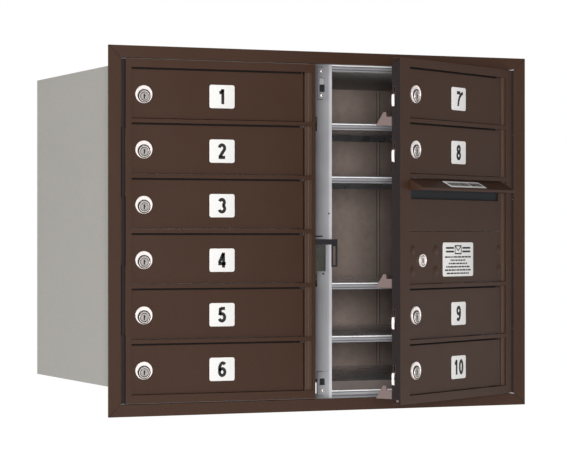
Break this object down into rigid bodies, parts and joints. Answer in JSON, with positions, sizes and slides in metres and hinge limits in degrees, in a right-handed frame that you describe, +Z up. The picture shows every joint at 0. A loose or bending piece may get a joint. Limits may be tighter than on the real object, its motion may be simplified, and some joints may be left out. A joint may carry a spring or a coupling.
{
  "type": "cluster mailbox unit",
  "caption": "Recessed wall mailbox unit with two hinged master doors, locked tenant doors, an outgoing slot, shelved compartments and a trim ring.",
  "frame": {"origin": "middle of the bottom trim's back face, on the surface of the wall that the trim bears on", "axes": "+X to the right seen from the front, +Y back into the wall, +Z up; the front faces -Y"},
  "size_m": [0.7566, 0.6496, 0.5961],
  "materials": {
    "bronze_paint": "satin dark bronze powder coat on aluminium",
    "grey_paint": "satin warm grey paint on sheet metal",
    "bare_aluminium": "brushed, bare",
    "black_paint": "satin black paint",
    "zinc_plate": "zinc plated, slightly pink grey",
    "lock_chrome": "bright plated die casting",
    "white_label": "white vinyl label"
  },
  "bodies": {
    "cabinet": {"side_panel_left": "grey_paint", "side_panel_right": "grey_paint", "top_panel": "grey_paint", "bottom_panel": "grey_paint", "back_panel": "grey_paint", "center_partition": "grey_paint", "center_post": "bare_aluminium", "trim_top": "bronze_paint", "trim_bottom": "bronze_paint", "trim_left": "bronze_paint", "trim_right": "bronze_paint", "shelf_left_1": "bare_aluminium", "shelf_left_2": "bare_aluminium", "shelf_left_3": "bare_aluminium", "shelf_left_4": "bare_aluminium", "shelf_left_5": "bare_aluminium", "shelf_right_1": "bare_aluminium", "shelf_right_2": "bare_aluminium", "shelf_right_3": "bare_aluminium", "shelf_right_4": "bare_aluminium", "latch_housing": "black_paint"},
    "release_lever": {"release_lever": "black_paint"},
    "left_master": {"left_master_frame": "bronze_paint"},
    "right_master": {"right_master_frame": "bronze_paint", "outgoing_panel": "bronze_paint", "arrow_panel": "bronze_paint", "outgoing_hood": "bronze_paint", "arrow_lock_cylinder": "lock_chrome"},
    "hook_bar": {"hook_bar": "zinc_plate"},
    "arrow_plug": {"arrow_lock_plug": "lock_chrome"},
    "tenant_1": {"tenant_door_1": "bronze_paint", "lock_cylinder_1": "lock_chrome"},
    "lock_1": {"lock_plug_1": "lock_chrome"},
    "tenant_2": {"tenant_door_2": "bronze_paint", "lock_cylinder_2": "lock_chrome"},
    "lock_2": {"lock_plug_2": "lock_chrome"},
    "tenant_3": {"tenant_door_3": "bronze_paint", "lock_cylinder_3": "lock_chrome"},
    "lock_3": {"lock_plug_3": "lock_chrome"},
    "tenant_4": {"tenant_door_4": "bronze_paint", "lock_cylinder_4": "lock_chrome"},
    "lock_4": {"lock_plug_4": "lock_chrome"},
    "tenant_5": {"tenant_door_5": "bronze_paint", "lock_cylinder_5": "lock_chrome"},
    "lock_5": {"lock_plug_5": "lock_chrome"},
    "tenant_6": {"tenant_door_6": "bronze_paint", "lock_cylinder_6": "lock_chrome"},
    "lock_6": {"lock_plug_6": "lock_chrome"},
    "tenant_7": {"tenant_door_7": "bronze_paint", "lock_cylinder_7": "lock_chrome"},
    "lock_7": {"lock_plug_7": "lock_chrome"},
    "tenant_8": {"tenant_door_8": "bronze_paint", "lock_cylinder_8": "lock_chrome"},
    "lock_8": {"lock_plug_8": "lock_chrome"},
    "tenant_9": {"tenant_door_9": "bronze_paint", "lock_cylinder_9": "lock_chrome"},
    "lock_9": {"lock_plug_9": "lock_chrome"},
    "tenant_10": {"tenant_door_10": "bronze_paint", "lock_cylinder_10": "lock_chrome"},
    "lock_10": {"lock_plug_10": "lock_chrome"}
  },
  "joints": [
    {"name": "left_master_hinge", "type": "hinge", "parent": "cabinet", "child": "left_master", "pos_m": [-0.35295, -0.001, 0], "axis": [0, 0, -1], "range_deg": [0, 100]},
    {"name": "right_master_hinge", "type": "hinge", "parent": "cabinet", "child": "right_master", "pos_m": [0.35295, -0.001, 0], "axis": [0, 0, 1], "range_deg": [-32.5, 67.5]},
    {"name": "release_lever_slide", "type": "slide", "parent": "cabinet", "child": "release_lever", "axis": [0, 0, 1], "range_m": [0, 0.008]},
    {"name": "hook_bar_slide", "type": "slide", "parent": "right_master", "child": "hook_bar", "axis": [0, 0, 1], "range_m": [0, 0.006]},
    {"name": "arrow_lock_turn", "type": "hinge", "parent": "right_master", "child": "arrow_plug", "pos_m": [0.10233, -0.15888, 0.2408], "axis": [-0.5373, 0.8434, 0], "range_deg": [0, 90]},
    {"name": "tenant_1_hinge", "type": "hinge", "parent": "left_master", "child": "tenant_1", "pos_m": [-0.03845, 0.0037, 0.5105], "axis": [0, 0, 1], "range_deg": [0, 95]},
    {"name": "lock_1_turn", "type": "hinge", "parent": "tenant_1", "child": "lock_1", "pos_m": [-0.31775, 0.0005, 0.5051], "axis": [0, 1, 0], "range_deg": [0, 90]},
    {"name": "tenant_2_hinge", "type": "hinge", "parent": "left_master", "child": "tenant_2", "pos_m": [-0.03845, 0.0037, 0.4216], "axis": [0, 0, 1], "range_deg": [0, 95]},
    {"name": "lock_2_turn", "type": "hinge", "parent": "tenant_2", "child": "lock_2", "pos_m": [-0.31775, 0.0005, 0.4162], "axis": [0, 1, 0], "range_deg": [0, 90]},
    {"name": "tenant_3_hinge", "type": "hinge", "parent": "left_master", "child": "tenant_3", "pos_m": [-0.03845, 0.0037, 0.3327], "axis": [0, 0, 1], "range_deg": [0, 95]},
    {"name": "lock_3_turn", "type": "hinge", "parent": "tenant_3", "child": "lock_3", "pos_m": [-0.31775, 0.0005, 0.3273], "axis": [0, 1, 0], "range_deg": [0, 90]},
    {"name": "tenant_4_hinge", "type": "hinge", "parent": "left_master", "child": "tenant_4", "pos_m": [-0.03845, 0.0037, 0.2438], "axis": [0, 0, 1], "range_deg": [0, 95]},
    {"name": "lock_4_turn", "type": "hinge", "parent": "tenant_4", "child": "lock_4", "pos_m": [-0.31775, 0.0005, 0.2384], "axis": [0, 1, 0], "range_deg": [0, 90]},
    {"name": "tenant_5_hinge", "type": "hinge", "parent": "left_master", "child": "tenant_5", "pos_m": [-0.03845, 0.0037, 0.1549], "axis": [0, 0, 1], "range_deg": [0, 95]},
    {"name": "lock_5_turn", "type": "hinge", "parent": "tenant_5", "child": "lock_5", "pos_m": [-0.31775, 0.0005, 0.1495], "axis": [0, 1, 0], "range_deg": [0, 90]},
    {"name": "tenant_6_hinge", "type": "hinge", "parent": "left_master", "child": "tenant_6", "pos_m": [-0.03845, 0.0037, 0.066], "axis": [0, 0, 1], "range_deg": [0, 95]},
    {"name": "lock_6_turn", "type": "hinge", "parent": "tenant_6", "child": "lock_6", "pos_m": [-0.31775, 0.0005, 0.0606], "axis": [0, 1, 0], "range_deg": [0, 90]},
    {"name": "tenant_7_hinge", "type": "hinge", "parent": "right_master", "child": "tenant_7", "pos_m": [0.31804, -0.01767, 0.5105], "axis": [0, 0, 1], "range_deg": [0, 95]},
    {"name": "lock_7_turn", "type": "hinge", "parent": "tenant_7", "child": "lock_7", "pos_m": [0.0842, -0.17044, 0.5051], "axis": [-0.5373, 0.8434, 0], "range_deg": [0, 90]},
    {"name": "tenant_8_hinge", "type": "hinge", "parent": "right_master", "child": "tenant_8", "pos_m": [0.31804, -0.01767, 0.4216], "axis": [0, 0, 1], "range_deg": [0, 95]},
    {"name": "lock_8_turn", "type": "hinge", "parent": "tenant_8", "child": "lock_8", "pos_m": [0.0842, -0.17044, 0.4162], "axis": [-0.5373, 0.8434, 0], "range_deg": [0, 90]},
    {"name": "tenant_9_hinge", "type": "hinge", "parent": "right_master", "child": "tenant_9", "pos_m": [0.31804, -0.01767, 0.1549], "axis": [0, 0, 1], "range_deg": [0, 95]},
    {"name": "lock_9_turn", "type": "hinge", "parent": "tenant_9", "child": "lock_9", "pos_m": [0.0842, -0.17044, 0.1495], "axis": [-0.5373, 0.8434, 0], "range_deg": [0, 90]},
    {"name": "tenant_10_hinge", "type": "hinge", "parent": "right_master", "child": "tenant_10", "pos_m": [0.31804, -0.01767, 0.066], "axis": [0, 0, 1], "range_deg": [0, 95]},
    {"name": "lock_10_turn", "type": "hinge", "parent": "tenant_10", "child": "lock_10", "pos_m": [0.0842, -0.17044, 0.0606], "axis": [-0.5373, 0.8434, 0], "range_deg": [0, 90]}
  ],
  "couplings": [
    {"joint": "arrow_lock_turn", "follows": "hook_bar_slide", "rad_per_m": 261.8}
  ]
}
